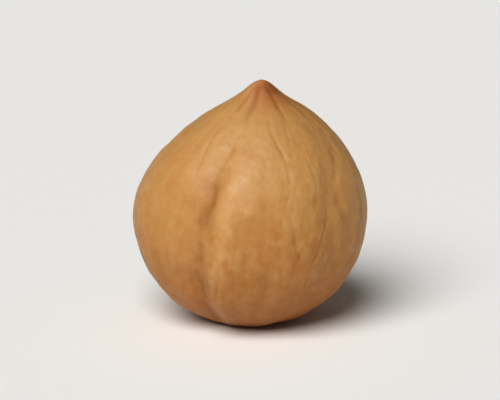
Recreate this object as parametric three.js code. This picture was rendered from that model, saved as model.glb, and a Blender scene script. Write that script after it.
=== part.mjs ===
// A blanched hazelnut kernel, grown as one piece and standing on the small flat of its base.
// Millimetres, +Z up. The origin is on the resting face, under the middle of the kernel.
import * as THREE from 'three';

// Overall size
const HEIGHT = 15.0; // resting face to the end of the tip
const WIDTH = 14.2; // along X
const DEPTH = 13.2; // along Y
const BELLY_HEIGHT = 6.4; // height of the widest girth
const FLAT_RADIUS = 1.7; // the spot that the kernel stands on

// Tip: the shoulders close in a blunt cone with a small nub on it, rounded off at the end
const NUB_HEIGHT = 0.5;
const NUB_RADIUS = 1.0;
const TIP_ROUNDING = 0.35;
const TIP_LEAN = new THREE.Vector2(0.65, -0.25); // how far the tip stands off the middle

// Relief around the kernel. Azimuth 0 is +X and 270 is the front, in degrees, at the belly.
// A positive height stands proud, a negative one is a hollow; spread is half its width.
const FURROWS = [
  { azimuth: 243, height: -0.45, spread: 7 }, // between the two halves, at the front left
  { azimuth: 233, height: -0.26, spread: 14 }, // its gentler side, on the slimmer half
  { azimuth: 257, height: 0.2, spread: 10 }, // lip on the fuller half, beside the front furrow
  { azimuth: 66, height: -0.28, spread: 8 }, // the same line at the back
  { azimuth: 82, height: 0.1, spread: 9 }, // lip beside the back furrow
  { azimuth: 205, height: 0.08, spread: 12 },
  { azimuth: 318, height: -0.1, spread: 12 },
  { azimuth: 18, height: -0.14, spread: 14 },
  { azimuth: 128, height: -0.2, spread: 16 },
  { azimuth: 160, height: 0.1, spread: 12 },
];
const RELIEF_TWIST = 20; // degrees that the furrows turn round the kernel from its base to its tip
const TWIST_CENTRE = 0.45; // the level, as a share of the height, where they stand at their azimuth

// Resolution
const SEGMENTS_AROUND = 80;
const ROWS_UP = 40;

const BELLY_RADIUS = WIDTH / 2;

/** The side of the kernel in profile, from the edge of its resting face up to its tip. */
class SideOutline extends THREE.Curve {
  constructor() {
    super();
    this.startAngle = -Math.acos(FLAT_RADIUS / BELLY_RADIUS);
    this.lowerReach = BELLY_HEIGHT / Math.sin(-this.startAngle);
    this.upperReach = HEIGHT - NUB_HEIGHT - BELLY_HEIGHT;
    this.coneSlope = this.upperReach / (2 * BELLY_RADIUS);
  }

  getPoint(t, target = new THREE.Vector2()) {
    const angle = THREE.MathUtils.lerp(this.startAngle, Math.PI / 2, t);
    return angle < 0 ? this.lowerPoint(angle, target) : this.shoulderPoint(angle / (Math.PI / 2), target);
  }

  /** An ellipse, from the resting face to the belly. */
  lowerPoint(angle, target) {
    const height = BELLY_HEIGHT + this.lowerReach * Math.sin(angle);
    return target.set(BELLY_RADIUS * Math.cos(angle), height);
  }

  /** Bends as the ellipse does at the belly, where rise is 0, and ends as a cone, where rise is 1. */
  shoulderPoint(rise, target) {
    const bellyPower = (this.upperReach / this.lowerReach) ** 2 / 2;
    const power = THREE.MathUtils.lerp(bellyPower, 1, rise ** 2);
    const radius = BELLY_RADIUS * (1 - rise ** 2) ** power;
    const nub = NUB_HEIGHT * bell(radius, NUB_RADIUS);
    const rounding = this.coneSlope * (Math.hypot(radius, TIP_ROUNDING) - radius);
    return target.set(radius, BELLY_HEIGHT + this.upperReach * rise + nub - rounding);
  }
}

/** 1 where the offset is 0, falling smoothly to nothing past the spread. */
function bell(offset, spread) {
  return Math.exp(-((offset / spread) ** 2));
}

/** The shorter way round from one azimuth to another, in degrees. */
function turnBetween(from, to) {
  return THREE.MathUtils.euclideanModulo(to - from + 180, 360) - 180;
}

/** How strongly the relief shows at a height: full round the belly, none at either end. */
function reliefStrength(z) {
  const level = z / HEIGHT;
  return THREE.MathUtils.smoothstep(level, 0, 0.1) * (1 - THREE.MathUtils.smoothstep(level, 0.5, 0.92));
}

/** Height of the relief at one azimuth, in millimetres, where it shows in full. */
function reliefAt(azimuth) {
  return FURROWS.reduce((sum, f) => sum + f.height * bell(turnBetween(f.azimuth, azimuth), f.spread), 0);
}

/** Moves one point of the turned body to where the grown body has it. */
function grow(point) {
  const twist = RELIEF_TWIST * (point.z / HEIGHT - TWIST_CENTRE);
  const azimuth = THREE.MathUtils.radToDeg(Math.atan2(point.y, point.x)) - twist;
  const radius = Math.hypot(point.x, point.y);
  const grown = radius + reliefAt(azimuth) * reliefStrength(point.z);
  const scale = radius > 0 ? grown / radius : 1;
  const lean = THREE.MathUtils.smoothstep(point.z, BELLY_HEIGHT, HEIGHT);
  point.set(point.x * scale + TIP_LEAN.x * lean, point.y * scale + TIP_LEAN.y * lean, point.z);
}

/** Applies a change to every point of a geometry. */
function moveEveryPoint(geometry, change) {
  const positions = geometry.attributes.position;
  const point = new THREE.Vector3();
  for (let i = 0; i < positions.count; i += 1) {
    change(point.fromBufferAttribute(positions, i));
    positions.setXYZ(i, point.x, point.y, point.z);
  }
}

/** Centres a geometry over the origin and brings it to the stated overall size. */
function fitToSize(geometry) {
  geometry.computeBoundingBox();
  const size = geometry.boundingBox.getSize(new THREE.Vector3());
  const middle = geometry.boundingBox.getCenter(new THREE.Vector3());
  geometry.translate(-middle.x, -middle.y, 0);
  geometry.scale(WIDTH / size.x, DEPTH / size.y, HEIGHT / size.z);
}

function kernelGeometry() {
  const side = new SideOutline().getSpacedPoints(ROWS_UP);
  side[side.length - 1].x = 0;
  const geometry = new THREE.LatheGeometry([new THREE.Vector2(0, 0), ...side], SEGMENTS_AROUND);
  geometry.rotateX(Math.PI / 2);
  moveEveryPoint(geometry, grow);
  fitToSize(geometry);
  geometry.computeVertexNormals();
  return geometry;
}

const kernelMaterial = new THREE.MeshStandardMaterial({ color: 0xb8834a, roughness: 0.55, metalness: 0 });
const kernel = new THREE.Mesh(kernelGeometry(), kernelMaterial);
kernel.name = 'hazelnut_kernel';

const hazelnut = new THREE.Group();
hazelnut.add(kernel);
export default hazelnut;
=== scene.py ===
"""A blanched hazelnut kernel, standing on its small flat on a pale studio floor."""
import logging
import math
from dataclasses import dataclass, field
from enum import Enum

import bpy
import numpy as np
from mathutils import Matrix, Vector, noise


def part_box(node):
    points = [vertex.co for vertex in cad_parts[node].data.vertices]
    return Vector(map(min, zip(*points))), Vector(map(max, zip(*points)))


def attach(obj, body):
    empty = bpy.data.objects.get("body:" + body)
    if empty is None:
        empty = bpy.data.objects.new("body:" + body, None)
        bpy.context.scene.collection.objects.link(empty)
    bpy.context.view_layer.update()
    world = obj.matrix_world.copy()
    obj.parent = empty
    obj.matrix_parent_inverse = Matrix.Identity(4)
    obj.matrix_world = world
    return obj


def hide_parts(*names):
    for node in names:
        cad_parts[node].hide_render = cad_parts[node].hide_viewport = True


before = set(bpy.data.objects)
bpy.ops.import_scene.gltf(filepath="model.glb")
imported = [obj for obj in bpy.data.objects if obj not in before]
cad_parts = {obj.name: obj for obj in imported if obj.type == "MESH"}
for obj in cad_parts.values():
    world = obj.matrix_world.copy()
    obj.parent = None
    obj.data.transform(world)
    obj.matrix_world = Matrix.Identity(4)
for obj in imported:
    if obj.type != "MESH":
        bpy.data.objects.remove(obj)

log = logging.getLogger("hazelnut")

MM = 0.001
NODE = "hazelnut_kernel"

Colour = tuple[float, float, float, float]
Socket = bpy.types.NodeSocket


class Grain(Enum):
    """The noise that a relief is cut with."""

    CLOUDS = "CLOUDS"
    PITTED = "STUCCI"


# ---------------------------------------------------------------- small tools


def pick(piece: bpy.types.Object) -> None:
    """Selects one object alone and makes it the active one.

    Args:
        piece: The object to work on.
    """
    bpy.ops.object.select_all(action="DESELECT")
    piece.select_set(True)
    bpy.context.view_layer.objects.active = piece


def points_of(piece: bpy.types.Object) -> np.ndarray:
    """Reads a mesh's points.

    Args:
        piece: The mesh object.

    Returns:
        One row of x, y and z for each point, in metres.
    """
    flat = np.empty(len(piece.data.vertices) * 3, np.float32)
    piece.data.vertices.foreach_get("co", flat)
    return flat.reshape(-1, 3).astype(float)


def normals_of(piece: bpy.types.Object) -> np.ndarray:
    """Reads the way each of a mesh's points faces.

    Args:
        piece: The mesh object.

    Returns:
        One row of x, y and z for each point.
    """
    flat = np.empty(len(piece.data.vertices) * 3, np.float32)
    piece.data.vertex_normals.foreach_get("vector", flat)
    return flat.reshape(-1, 3).astype(float)


def select_points(piece: bpy.types.Object, chosen: np.ndarray) -> None:
    """Selects some of a mesh's points, and nothing else, before an edit.

    Args:
        piece: The mesh object, in object mode.
        chosen: True for each point to select.
    """
    mesh = piece.data
    mesh.polygons.foreach_set("select", np.zeros(len(mesh.polygons), bool))
    mesh.edges.foreach_set("select", np.zeros(len(mesh.edges), bool))
    mesh.vertices.foreach_set("select", chosen)


def bell(offset: np.ndarray, spread: float) -> np.ndarray:
    """1 where the offset is 0, falling smoothly to nothing past the spread."""
    return np.exp(-((offset / spread) ** 2))


def ramp(value: np.ndarray, low: float, high: float) -> np.ndarray:
    """0 below low, 1 above high and a smooth climb between them."""
    share = np.clip((value - low) / (high - low), 0.0, 1.0)
    return share * share * (3.0 - 2.0 * share)


def linear(red: int, green: int, blue: int) -> Colour:
    """Turns a screen colour, 0 to 255, into the linear one that a shader takes.

    Args:
        red: Red on screen.
        green: Green on screen.
        blue: Blue on screen.

    Returns:
        The linear colour, with full alpha.
    """
    def one(level: int) -> float:
        share = level / 255
        return share / 12.92 if share <= 0.04045 else ((share + 0.055) / 1.055) ** 2.4

    return (one(red), one(green), one(blue), 1.0)


class Bench:
    """Adds nodes to one material or world and wires them up."""

    def __init__(self, tree: bpy.types.NodeTree) -> None:
        """Starts from an empty tree."""
        self.tree = tree
        self.tree.nodes.clear()

    def add(self, kind: str, inputs: dict | None = None, **settings: object) -> bpy.types.Node:
        """Adds one node.

        Args:
            kind: The node's type name, without its ShaderNode prefix.
            inputs: Values or other nodes' outputs, by socket name or number.
            **settings: The node's own properties.

        Returns:
            The new node.
        """
        node = self.tree.nodes.new("ShaderNode" + kind)
        for name, value in settings.items():
            setattr(node, name, value)
        for name, value in (inputs or {}).items():
            if isinstance(value, bpy.types.NodeSocket):
                self.tree.links.new(value, node.inputs[name])
            else:
                node.inputs[name].default_value = value
        return node

    def reading(self, name: str, kind: str = "Fac") -> Socket:
        """Reads one of the mesh's attributes."""
        return self.add("Attribute", attribute_name=name).outputs[kind]

    def maths(self, what: str, first: Socket | float, second: Socket | float) -> Socket:
        """Works one number out from two.

        Args:
            what: The Math node's operation.
            first: A number or an output.
            second: A number or an output.

        Returns:
            The answer's output.
        """
        return self.add("Math", {0: first, 1: second}, operation=what).outputs[0]

    def stretch(
        self, value: Socket, low: float, high: float, to: tuple[float, float] = (0.0, 1.0)
    ) -> Socket:
        """Maps low..high smoothly on to another range.

        Args:
            value: The output to map.
            low: The value that becomes to[0].
            high: The value that becomes to[1].
            to: The new range.

        Returns:
            The mapped output.
        """
        inputs = {0: value, 1: low, 2: high, 3: to[0], 4: to[1]}
        return self.add("MapRange", inputs, interpolation_type="SMOOTHSTEP").outputs[0]

    def tint(self, colour: Socket | Colour, other: Colour, where: Socket, strength: float) -> Socket:
        """Lays one colour over another.

        Args:
            colour: The colour beneath.
            other: The colour on top.
            where: 1 where the top colour is laid on, 0 where it isn't.
            strength: How much of it is laid on there.

        Returns:
            The mixed colour's output.
        """
        share = self.maths("MULTIPLY", where, strength)
        return self.add("Mix", {"Factor": share, 6: colour, 7: other}, data_type="RGBA").outputs[2]

    def noise(self, vector: Socket, scale: float, detail: float = 2.0, rough: float = 0.5) -> Socket:
        """Adds a noise.

        Args:
            vector: The coordinates' output.
            scale: How fine the noise is.
            detail: Its octaves.
            rough: How strong the fine octaves are.

        Returns:
            The noise's value, about 0.5 on average.
        """
        inputs = {"Vector": vector, "Scale": scale, "Detail": detail, "Roughness": rough}
        return self.add("TexNoise", inputs).outputs[0]


# ---------------------------------------------------------------- finishes


@dataclass(frozen=True)
class FleshFinish:
    """Skinned nut flesh: golden tan and satin, with a painted highlight on its upper shoulders, ridges
    paler partly from rubbing and partly as painted highlight, and painted shade towards the base.
    """

    body: Colour = linear(179, 127, 66)
    pale: Colour = linear(207, 165, 109)
    warm: Colour = linear(170, 103, 28)
    deep: Colour = linear(130, 70, 12)
    tip_brown_and_shade: Colour = linear(158, 84, 38)
    skin: Colour = linear(78, 35, 15)
    roughness: tuple[float, float] = (0.44, 0.58)
    painted_highlight_above: tuple[float, float] = (6.0 * MM, 11.0 * MM)
    painted_shade_below: tuple[float, float] = (8.5 * MM, 1.5 * MM)
    painted_dark_below: tuple[float, float] = (5.5 * MM, 0.0)
    bump_height: float = 0.05 * MM
    light_depth: float = 0.9 * MM

    def make(self) -> bpy.types.Material:
        """Builds the material.

        Returns:
            The material, with its patterns on the piece's own coordinates and attributes.
        """
        material = bpy.data.materials.new("nut_flesh")
        material.use_nodes = True
        bench = Bench(material.node_tree)
        place = bench.add("TexCoord").outputs["Object"]
        surface = bench.add(
            "BsdfPrincipled",
            {
                "Base Color": self.skin_left(bench, place, self.flesh_colour(bench, place)),
                "Roughness": bench.stretch(bench.noise(place, 900.0, 3.0), 0.3, 0.7, self.roughness),
                "IOR": 1.45,
                "Subsurface Weight": 0.2,
                "Subsurface Radius": (1.0, 0.5, 0.22),
                "Subsurface Scale": self.light_depth,
                "Normal": self.fine_relief(bench, place),
            },
        )
        bench.add("OutputMaterial", {"Surface": surface.outputs[0]})
        return material

    def flesh_colour(self, bench: Bench, place: Socket) -> Socket:
        """Works out the flesh's colour: patches, a painted highlight on the upper shoulders, painted
        shade towards the base, streaks, and hollows and ridges that are partly the flesh's own marks and
        partly painted shade and highlight.

        Args:
            bench: The material's bench.
            place: The piece's coordinates.

        Returns:
            The colour's output.
        """
        meridian = bench.reading("meridian", "Vector")
        hollow = bench.reading("hollow")
        patches = bench.stretch(bench.noise(place, 190.0, 4.0, 0.55), 0.3, 0.72)
        streaks = bench.stretch(bench.noise(meridian, 6.0, 6.0, 0.6), 0.3, 0.75)
        flecks = bench.stretch(bench.noise(place, 1700.0, 4.0, 0.65), 0.35, 0.75)
        height = bench.add("SeparateXYZ", {0: place}).outputs["Z"]
        colour = bench.tint(self.body, self.warm, patches, 0.65)
        # Painted highlight: the upper shoulders are laid paler by height alone, as if lit from above.
        colour = bench.tint(colour, self.pale, bench.stretch(height, *self.painted_highlight_above), 0.35)
        # Painted shade: the lower half is laid warmer and darker, as the shade that falls towards the
        # base.
        colour = bench.tint(colour, self.warm, bench.stretch(height, *self.painted_shade_below), 0.7)
        colour = bench.tint(colour, self.pale, streaks, 0.28)
        colour = bench.tint(colour, self.pale, flecks, 0.25)
        # Darker in the hollows: partly the brown of the veins' prints, partly painted shade in the
        # creases.
        colour = bench.tint(colour, self.deep, bench.stretch(hollow, 0.0, 2.6), 0.5)
        # Paler on the ridges: partly rubbed flesh, partly painted highlight.
        colour = bench.tint(colour, self.pale, bench.stretch(hollow, 0.0, -2.2), 0.5)
        # Painted shade: darker still towards the base.
        colour = bench.tint(colour, self.deep, bench.stretch(height, *self.painted_dark_below), 0.45)
        # Darker along the seam: partly the seam's own line, partly painted shade in the furrow.
        colour = bench.tint(colour, self.deep, bench.reading("seam"), 0.35)
        # Browner patch at the tip, set to its right: partly the tip's own colour, partly painted shade on
        # its shaded side.
        return bench.tint(colour, self.tip_brown_and_shade, bench.reading("tip"), 0.8)

    def skin_left(self, bench: Bench, place: Socket, colour: Socket) -> Socket:
        """Leaves a few specks of brown skin in the deepest hollows, at the tip and on the base's scar.

        Args:
            bench: The material's bench.
            place: The piece's coordinates.
            colour: The flesh's colour.

        Returns:
            The finished colour's output.
        """
        scar = bench.reading("scar")
        specks = bench.stretch(bench.noise(place, 650.0, 4.0, 0.7), 0.58, 0.68)
        tip = bench.reading("tip")
        ends = bench.maths("MAXIMUM", scar, tip)
        deep = bench.stretch(bench.reading("hollow"), 1.4, 3.2)
        kept = bench.maths("MULTIPLY", specks, bench.maths("MAXIMUM", deep, ends))
        colour = bench.tint(bench.tint(colour, self.deep, scar, 0.6), self.skin, kept, 0.7)
        return bench.tint(colour, self.skin, bench.stretch(tip, 0.8, 1.0), 0.3)

    def fine_relief(self, bench: Bench, place: Socket) -> Socket:
        """Roughens the surface with fibres that run up the kernel and a fine pitting.

        Args:
            bench: The material's bench.
            place: The piece's coordinates.

        Returns:
            The normal's output.
        """
        fibres = bench.noise(bench.reading("meridian", "Vector"), 30.0, 4.0, 0.6)
        pits = bench.noise(place, 4200.0, 3.0, 0.6)
        strong = bench.maths("MULTIPLY", fibres, 0.65)
        faint = bench.maths("MULTIPLY", pits, 0.35)
        height = bench.maths("ADD", strong, faint)
        relief = {"Strength": 0.5, "Distance": self.bump_height, "Height": height}
        return bench.add("Bump", relief).outputs[0]


@dataclass(frozen=True)
class FloorFinish:
    """Matt pale studio paper."""

    paper: Colour = linear(248, 247, 244)

    def make(self) -> bpy.types.Material:
        """Builds the material."""
        material = bpy.data.materials.new("studio_paper")
        material.use_nodes = True
        bench = Bench(material.node_tree)
        surface = bench.add("BsdfPrincipled", {"Base Color": self.paper, "Roughness": 0.9})
        bench.add("OutputMaterial", {"Surface": surface.outputs[0]})
        return material


# ---------------------------------------------------------------- the kernel


@dataclass(frozen=True)
class Line:
    """A line that runs up the kernel, wandering and fading as it goes.

    Its azimuth and sway are in degrees, its depth and spread in metres, and its start and end are shares
    of the way from the base, 0, to the tip, 1. The thread picks its course.
    """

    azimuth: float
    depth: float
    spread: float
    start: float = 0.0
    end: float = 1.0
    sway: float = 4.0
    thread: float = 0.0

    def wander(self, along: np.ndarray, pitch: float, offset: float) -> np.ndarray:
        """A smooth random course along the line.

        Args:
            along: How far up the line each point is, 0 to 1.
            pitch: How many times the course turns on the way.
            offset: Picks the course.

        Returns:
            About -1 to 1 at each point.
        """
        steps = np.linspace(0.0, 1.0, 60)
        course = [noise.noise((self.thread, offset, pitch * step)) * 2.0 for step in steps]
        return np.interp(along, steps, course)


@dataclass(frozen=True)
class Scatter:
    """A set of fine lines placed by chance, each value picked between two limits."""

    count: int
    start: tuple[float, float]
    length: tuple[float, float]
    depth: tuple[float, float]
    spread: tuple[float, float] = (0.12 * MM, 0.25 * MM)


@dataclass(frozen=True)
class Chart:
    """Where each point of the kernel lies.

    It holds each point's azimuth along the turning grain, in radians, its distance from the leaning axis
    and how far it is from the base, 0, to the tip, 1.
    """

    points: np.ndarray
    azimuth: np.ndarray
    radius: np.ndarray
    along: np.ndarray

    def cut(self, line: Line) -> np.ndarray:
        """How deep a line is cut at each point.

        Args:
            line: The line.

        Returns:
            The depth in metres.
        """
        middle = line.azimuth + line.sway * line.wander(self.along, 4.0, 0.0)
        turn = (np.degrees(self.azimuth) - middle + 180.0) % 360.0 - 180.0
        off = np.radians(turn) * self.radius
        begun = ramp(self.along, line.start, line.start + 0.15)
        ends = begun * (1.0 - ramp(self.along, line.end - 0.2, line.end))
        strength = np.clip(0.65 + 0.6 * line.wander(self.along, 7.0, 9.0), 0.0, 1.0)
        clear_of_tip = ramp(self.radius, 0.0, 0.6 * MM)
        near_side = np.abs(turn) < 90.0
        return line.depth * bell(off, line.spread) * ends * strength * clear_of_tip * near_side


@dataclass
class Kernel:
    """The kernel, shaped from a ball on the body that the frame gives and cut with its fine relief."""

    name: str = "kernel"
    belly_height: float = 6.4 * MM
    lean: tuple[float, float] = (0.65 * MM, -0.25 * MM)
    lean_reach: float = 9 * MM
    ball_cuts: int = 15
    ball_spare: float = 1.1
    seam_azimuths: tuple[float, float] = (243.0, 66.0)
    twist: float = 20.0
    twist_centre: float = 0.45
    flat_depth: float = 0.06 * MM
    tip_mark: tuple[float, float, float] = (0.55 * MM, -0.5 * MM, -0.45 * MM)
    tip_mark_spread: float = 1.45 * MM
    scar_spread: float = 2.2 * MM
    full_hollow: float = 0.02 * MM
    seam_tint_depth: float = 0.12 * MM
    tip_ring: tuple[float, float, float] = (1.3 * MM, 0.5 * MM, 0.025 * MM)
    vein_count: int = 9
    dimple_count: int = 26
    fibres: Scatter = Scatter(72, (0.0, 0.75), (0.3, 0.55), (0.01 * MM, 0.035 * MM))
    tip_creases: Scatter = Scatter(17, (0.72, 0.84), (0.5, 0.6), (0.025 * MM, 0.06 * MM))
    base_creases: Scatter = Scatter(22, (-0.3, -0.1), (0.42, 0.55), (0.02 * MM, 0.05 * MM))
    seed: int = 5
    flesh: FleshFinish = FleshFinish()
    piece: bpy.types.Object = field(init=False, default=None)

    def __post_init__(self) -> None:
        """Takes the kernel's corners from the frame."""
        self.low, self.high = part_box(NODE)

    def build(self) -> bpy.types.Object:
        """Models the kernel.

        Returns:
            The finished piece.
        """
        self.round_a_ball()
        self.lean_the_top()
        self.fit_to_body()
        self.cut_relief()
        self.roughen()
        self.settle()
        self.mark_surface()
        return self.piece

    def dress(self) -> None:
        """Gives the kernel its flesh."""
        self.piece.data.materials.clear()
        self.piece.data.materials.append(self.flesh.make())

    def round_a_ball(self) -> None:
        """Rounds a divided cube into a ball that is a little larger than the kernel."""
        size = self.high - self.low
        bpy.ops.object.select_all(action="DESELECT")
        bpy.ops.mesh.primitive_cube_add(size=size.z * 0.7, location=(self.low + self.high) / 2)
        self.piece = bpy.context.active_object
        self.piece.name = self.name
        bpy.ops.object.transform_apply(location=True, rotation=True, scale=True)
        bpy.ops.object.mode_set(mode="EDIT")
        bpy.ops.mesh.select_all(action="SELECT")
        bpy.ops.mesh.subdivide(number_cuts=self.ball_cuts)
        bpy.ops.transform.tosphere(value=1.0)
        bpy.ops.object.mode_set(mode="OBJECT")
        points = points_of(self.piece)
        ball = Vector(points.max(0) - points.min(0))
        bpy.ops.object.mode_set(mode="EDIT")
        bpy.ops.mesh.select_all(action="SELECT")
        bpy.ops.transform.resize(
            value=[self.ball_spare * wanted / got for wanted, got in zip(size, ball)],
            center_override=(self.low + self.high) / 2,
        )
        bpy.ops.object.mode_set(mode="OBJECT")

    def lean_the_top(self) -> None:
        """Pulls the ball's top over to where the tip stands."""
        points = points_of(self.piece)
        select_points(self.piece, points[:, 2] > points[:, 2].max() - 0.2 * MM)
        bpy.ops.object.mode_set(mode="EDIT")
        bpy.ops.transform.translate(
            value=(*self.lean, 0.0),
            use_proportional_edit=True,
            proportional_edit_falloff="SMOOTH",
            proportional_size=self.lean_reach,
        )
        bpy.ops.object.mode_set(mode="OBJECT")

    def fit_to_body(self) -> None:
        """Divides the ball finely and lays it on the body, then eases the body's flats out of it."""
        self.finish_with("SUBSURF", levels=2, render_levels=2)
        self.finish_with("SHRINKWRAP", target=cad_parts[NODE], wrap_method="PROJECT",
                         use_negative_direction=True, use_positive_direction=True)
        self.finish_with("SMOOTH", factor=0.5, iterations=6)
        self.finish_with("SUBSURF", levels=1, render_levels=1)

    def finish_with(self, kind: str, **settings: object) -> None:
        """Adds a modifier and applies it.

        Args:
            kind: The modifier's type.
            **settings: Its properties.
        """
        pick(self.piece)
        modifier = self.piece.modifiers.new(kind.lower(), kind)
        for name, value in settings.items():
            setattr(modifier, name, value)
        bpy.ops.object.modifier_apply(modifier=modifier.name)

    def chart(self) -> Chart:
        """Charts the surface about its leaning axis.

        Returns:
            The chart of every point.
        """
        points = points_of(self.piece)
        lean = ramp(points[:, 2], self.belly_height, self.high.z)
        x = points[:, 0] - self.lean[0] * lean
        y = points[:, 1] - self.lean[1] * lean
        radius = np.hypot(x, y)
        along = np.degrees(np.arctan2(points[:, 2] - self.belly_height, radius)) / 180.0 + 0.5
        level = points[:, 2] / self.high.z
        azimuth = np.arctan2(y, x) - np.radians(self.twist) * (level - self.twist_centre)
        return Chart(points, azimuth, radius, along)

    def seam_lines(self) -> list[Line]:
        """The line where the halves meet: a fine cleft at the tip, wider down the front and the back."""
        front, back = self.seam_azimuths
        return [
            Line(front, 0.07 * MM, 0.2 * MM, start=0.78, end=1.3, sway=1.5, thread=0.4),
            Line(back, 0.08 * MM, 0.2 * MM, start=0.7, end=1.3, sway=1.5, thread=2.0),
            Line(front, 0.15 * MM, 0.45 * MM, start=0.0, end=0.8, sway=1.5, thread=0.4),
            Line(back, 0.06 * MM, 0.35 * MM, start=0.0, end=0.85, sway=1.5, thread=2.0),
        ]

    def vein_lines(self) -> list[Line]:
        """The shallow prints of the skin's veins, which fork and fade on their way up from the base."""
        chance = np.random.default_rng(self.seed)
        lines = []
        for index in range(self.vein_count):
            azimuth = (index + chance.uniform(-0.3, 0.3)) * 360.0 / self.vein_count
            depth = chance.uniform(0.06, 0.14) * MM
            spread = chance.uniform(0.45, 0.85) * MM
            thread = chance.uniform(0.0, 50.0)
            end = chance.uniform(0.65, 1.0)
            lines.append(Line(azimuth, depth, spread, 0.02, end, 6.0, thread))
            turn = chance.choice([-1.0, 1.0]) * chance.uniform(9.0, 15.0)
            fork = Line(azimuth + turn, depth * 0.5, spread * 0.6, 0.25, end + 0.05, 9.0, thread + 7.0)
            lines.append(fork)
        return lines

    def scattered_lines(self, scatter: Scatter) -> list[Line]:
        """Places many fine lines by chance.

        Args:
            scatter: How many there are and the ranges that they are picked from.

        Returns:
            The lines.
        """
        chance = np.random.default_rng(self.seed + scatter.count)
        lines = []
        for _ in range(scatter.count):
            start = chance.uniform(*scatter.start)
            lines.append(
                Line(
                    azimuth=chance.uniform(0.0, 360.0),
                    depth=chance.uniform(*scatter.depth),
                    spread=chance.uniform(*scatter.spread),
                    start=start,
                    end=start + chance.uniform(*scatter.length),
                    sway=8.0,
                    thread=chance.uniform(0.0, 50.0),
                )
            )
        return lines

    def dimples(self, chart: Chart) -> np.ndarray:
        """Scattered small dents.

        Args:
            chart: The surface's chart.

        Returns:
            The depth at each point, in metres.
        """
        chance = np.random.default_rng(self.seed + 1)
        depth = np.zeros(len(chart.points))
        for _ in range(self.dimple_count):
            centre = chart.points[chance.integers(len(chart.points))]
            spread = chance.uniform(0.25, 0.8) * MM
            far = np.linalg.norm(chart.points - centre, axis=1)
            depth += chance.uniform(0.03, 0.08) * spread * bell(far, spread)
        return depth

    def cut_relief(self) -> None:
        """Cuts the seam, the veins' prints, the fine lines, the ring about the tip and the dents."""
        chart = self.chart()
        lines = {
            "seam": self.seam_lines(),
            "veins": self.vein_lines(),
            "fibres": self.scattered_lines(self.fibres),
            "tip_creases": self.scattered_lines(self.tip_creases),
            "base_creases": self.scattered_lines(self.base_creases),
        }
        for name, group in lines.items():
            self.press(name, sum(chart.cut(line) for line in group))
        radius, spread, depth = self.tip_ring
        self.press("ring", depth * bell(chart.radius - radius, spread) * (chart.along > 0.8))
        self.press("dimples", self.dimples(chart))

    def press(self, name: str, depth: np.ndarray) -> None:
        """Paints a depth on the mesh as weights and presses the surface in by it.

        Args:
            name: What is pressed in.
            depth: How deep, at each point, in metres.
        """
        deepest = float(depth.max())
        group = self.piece.vertex_groups.new(name=name)
        for index in np.flatnonzero(depth > deepest * 0.01):
            group.add([int(index)], float(depth[index] / deepest), "REPLACE")
        self.finish_with("DISPLACE", strength=-deepest, mid_level=0.0, vertex_group=name)
        self.piece.vertex_groups.remove(self.piece.vertex_groups[name])

    def roughen(self) -> None:
        """Gives the surface its soft unevenness and its fine grain, and leaves the base's middle even."""
        free = self.piece.vertex_groups.new(name="free")
        for index, share in enumerate(ramp(self.chart().along, 0.05, 0.3)):
            free.add([index], float(share), "REPLACE")
        self.displace_with(Grain.CLOUDS, "swell", 3.6 * MM, 0.22 * MM)
        self.displace_with(Grain.CLOUDS, "ripple", 1.5 * MM, 0.11 * MM)
        self.displace_with(Grain.PITTED, "grain", 0.3 * MM, 0.012 * MM)
        self.piece.vertex_groups.remove(self.piece.vertex_groups["free"])

    def displace_with(self, grain: Grain, name: str, size: float, height: float) -> None:
        """Moves the surface in and out by a noise.

        Args:
            grain: The noise.
            name: Its name.
            size: The size of its features, in metres.
            height: From its lowest to its highest, in metres.
        """
        texture = bpy.data.textures.new(name, grain.value)
        texture.noise_scale = size
        self.finish_with("DISPLACE", texture=texture, strength=height, mid_level=0.5,
                         texture_coords="LOCAL", vertex_group="free")
        bpy.data.textures.remove(texture)

    def settle(self) -> None:
        """Brings the kernel to the body's size and presses a flat where it stands on the floor."""
        sunk = self.low - Vector((0.0, 0.0, self.flat_depth))
        points = points_of(self.piece)
        got_low, got_high = Vector(points.min(0)), Vector(points.max(0))
        bpy.ops.object.mode_set(mode="EDIT")
        bpy.ops.mesh.select_all(action="SELECT")
        bpy.ops.transform.resize(
            value=[(self.high - sunk)[i] / (got_high - got_low)[i] for i in range(3)],
            center_override=(got_low + got_high) / 2,
        )
        bpy.ops.transform.translate(value=(sunk + self.high) / 2 - (got_low + got_high) / 2)
        bpy.ops.object.mode_set(mode="OBJECT")
        select_points(self.piece, points_of(self.piece)[:, 2] < self.low.z)
        bpy.ops.object.mode_set(mode="EDIT")
        bpy.ops.transform.resize(value=(1.0, 1.0, 0.0), center_override=(0.0, 0.0, self.low.z))
        bpy.ops.object.mode_set(mode="OBJECT")

    def mark_surface(self) -> None:
        """Stores what the flesh's patterns follow: meridians, hollows, the seam, the scar and the tip."""
        chart = self.chart()
        mesh = self.piece.data
        around = np.stack([np.cos(chart.azimuth), np.sin(chart.azimuth), chart.along * 0.9], axis=1)
        layer = mesh.attributes.new("meridian", "FLOAT_VECTOR", "POINT")
        layer.data.foreach_set("vector", around.astype(np.float32).ravel())
        self.store("hollow", self.hollowness())
        seam = sum(chart.cut(line) for line in self.seam_lines()) / self.seam_tint_depth
        self.store("seam", seam * (1.0 - ramp(chart.along, 0.6, 0.85)))
        self.store("scar", bell(chart.radius, self.scar_spread) * (chart.along < 0.4))
        # The tip's mark sits right of and below the apex: partly its own browner colour, partly painted
        # shade.
        mark = chart.points[chart.points[:, 2].argmax()] + self.tip_mark
        self.store("tip", bell(np.linalg.norm(chart.points - mark, axis=1), self.tip_mark_spread))

    def store(self, name: str, values: np.ndarray) -> None:
        """Stores one number for each point of the mesh."""
        layer = self.piece.data.attributes.new(name, "FLOAT", "POINT")
        layer.data.foreach_set("value", values.astype(np.float32))

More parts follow.
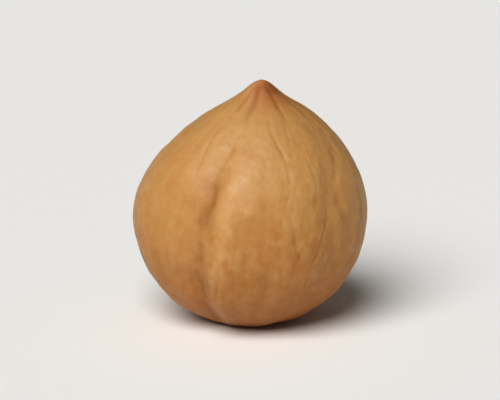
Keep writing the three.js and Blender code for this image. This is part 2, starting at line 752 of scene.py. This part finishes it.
    def hollowness(self) -> np.ndarray:
        """Measures how far each point lies below the surface smoothed about it.

        Returns:
            1 in a hollow that is deep for this nut, -1 on a ridge as high.
        """
        pick(self.piece)
        bpy.ops.object.duplicate()
        smooth = bpy.context.active_object
        modifier = smooth.modifiers.new("smooth", "SMOOTH")
        modifier.factor, modifier.iterations = 0.5, 60
        bpy.ops.object.modifier_apply(modifier=modifier.name)
        sunk = np.einsum("ij,ij->i", points_of(smooth) - points_of(self.piece), normals_of(self.piece))
        bpy.data.objects.remove(smooth)
        return (sunk - np.median(sunk)) / self.full_hollow


# ---------------------------------------------------------------- the studio


@dataclass
class Studio:
    """A pale floor, a soft key light from the upper left and a camera a little above the kernel."""

    elevation: float = 15.0
    lens: float = 180.0
    sensor_width: float = 36.0
    frame_shape: float = 400 / 500
    fill: float = 0.62
    floor_width: float = 4.0
    key_strength: float = 2.72
    key_width: float = 42.0
    key_turn: tuple[float, float, float] = (42.0, 0.0, -25.0)
    horizon: float = 0.665
    overhead: float = 0.09
    dims_between: tuple[float, float] = (0.03, 0.08)

    def build(self) -> None:
        """Lays the floor, lights it and sets the camera up."""
        self.lay_floor()
        self.light()
        self.set_camera()

    def lay_floor(self) -> None:
        """Lays a wide flat floor under the kernel."""
        bpy.ops.object.select_all(action="DESELECT")
        bpy.ops.mesh.primitive_plane_add(size=self.floor_width)
        floor = bpy.context.active_object
        floor.name = "studio_floor"
        floor.data.materials.append(FloorFinish().make())

    def light(self) -> None:
        """Sets a soft key light and a pale surround."""
        bpy.ops.object.light_add(type="SUN", rotation=[math.radians(turn) for turn in self.key_turn])
        key = bpy.context.active_object
        key.name = "key_light"
        key.data.energy = self.key_strength
        key.data.angle = math.radians(self.key_width)
        self.surround()
        view = bpy.context.scene.view_settings
        view.view_transform, view.look = "Standard", "Medium High Contrast"

    def surround(self) -> None:
        """Hangs a pale surround, bright round the horizon and dimmer overhead."""
        world = bpy.data.worlds.new("studio")
        bpy.context.scene.world = world
        world.use_nodes = True
        bench = Bench(world.node_tree)
        way = bench.add("TexCoord").outputs["Generated"]
        height = bench.add("SeparateXYZ", {0: way}).outputs["Z"]
        strength = bench.stretch(height, *self.dims_between, (self.horizon, self.overhead))
        back = bench.add("Background", {"Color": (1.0, 0.988, 0.965, 1.0), "Strength": strength})
        bench.add("OutputWorld", {"Surface": back.outputs[0]})

    def set_camera(self) -> None:
        """Aims the camera at the kernel's middle from the front, a little above it."""
        low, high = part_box(NODE)
        middle = (low + high) / 2
        sensor_height = self.sensor_width * self.frame_shape
        distance = (high.z - low.z) / self.fill * self.lens / sensor_height
        tilt = math.radians(self.elevation)
        spot = middle + Vector((0.0, -math.cos(tilt), math.sin(tilt))) * distance
        bpy.ops.object.camera_add(location=spot, rotation=(math.radians(90.0) - tilt, 0.0, 0.0))
        camera = bpy.context.active_object
        camera.data.lens = self.lens
        camera.data.sensor_width = self.sensor_width
        camera.data.clip_start = distance * 0.05
        camera.data.clip_end = self.floor_width * 2
        bpy.context.scene.camera = camera


def main() -> None:
    """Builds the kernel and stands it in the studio."""
    logging.basicConfig(level=logging.INFO, format="%(name)s: %(message)s")
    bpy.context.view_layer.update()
    kernel = Kernel()
    piece = kernel.build()
    kernel.dress()
    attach(piece, "root")
    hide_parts(NODE)
    log.info("%s: %d faces", piece.name, len(piece.data.polygons))
    Studio().build()
    log.info("studio: floor, light and camera")


if __name__ == "__main__":
    main()
